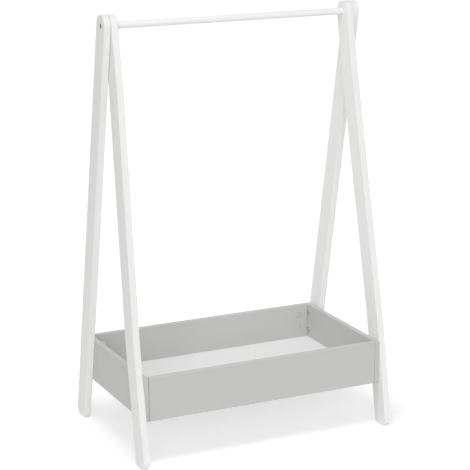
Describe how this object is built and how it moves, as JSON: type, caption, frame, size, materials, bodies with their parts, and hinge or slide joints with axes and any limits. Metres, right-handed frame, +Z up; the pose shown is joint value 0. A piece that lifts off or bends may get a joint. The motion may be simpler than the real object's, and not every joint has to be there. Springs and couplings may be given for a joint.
{
  "type": "children's clothes rail with storage tray",
  "caption": "Free-standing clothes rail for children: crossed pairs of rounded flat legs, a round rail between the crossings, and an open tray low down.",
  "frame": {"origin": "on the floor, midway between the four feet, under the middle of the rail", "axes": "+Z up, +X to the right along the rail, +Y to the back, away from somebody facing the front"},
  "size_m": [0.62, 0.4074, 0.968],
  "materials": {
    "leg_lacquer": "solid wood with a smooth satin white lacquer",
    "panel_lacquer": "fibreboard with a satin light-grey lacquer",
    "floor_white": "thin fibreboard with a matt white face",
    "rail_enamel": "steel tube with satin white powder coat",
    "zinc_steel": "bright zinc-plated steel",
    "insert_zinc": "zinc alloy, as cast",
    "cam_zinc": "zinc die casting, dull"
  },
  "bodies": {
    "root": {"hanging_rail": "rail_enamel", "front_panel": "panel_lacquer", "back_panel": "panel_lacquer", "floor_panel": "floor_white", "rear_leg_left": "leg_lacquer", "front_leg_left": "leg_lacquer", "side_panel_left": "panel_lacquer", "rail_plug_left": "zinc_steel", "pivot_bolt_left": "zinc_steel", "pivot_washer_left": "zinc_steel", "front_leg_bolts_left": "zinc_steel", "front_leg_inserts_left": "insert_zinc", "front_cam_bolts_left": "zinc_steel", "front_cam_discs_left": "cam_zinc", "rear_leg_bolts_left": "zinc_steel", "rear_leg_inserts_left": "insert_zinc", "rear_cam_bolts_left": "zinc_steel", "rear_cam_discs_left": "cam_zinc", "rear_leg_right": "leg_lacquer", "front_leg_right": "leg_lacquer", "side_panel_right": "panel_lacquer", "rail_plug_right": "zinc_steel", "pivot_bolt_right": "zinc_steel", "pivot_washer_right": "zinc_steel", "front_leg_bolts_right": "zinc_steel", "front_leg_inserts_right": "insert_zinc", "front_cam_bolts_right": "zinc_steel", "front_cam_discs_right": "cam_zinc", "rear_leg_bolts_right": "zinc_steel", "rear_leg_inserts_right": "insert_zinc", "rear_cam_bolts_right": "zinc_steel", "rear_cam_discs_right": "cam_zinc"}
  },
  "joints": []
}
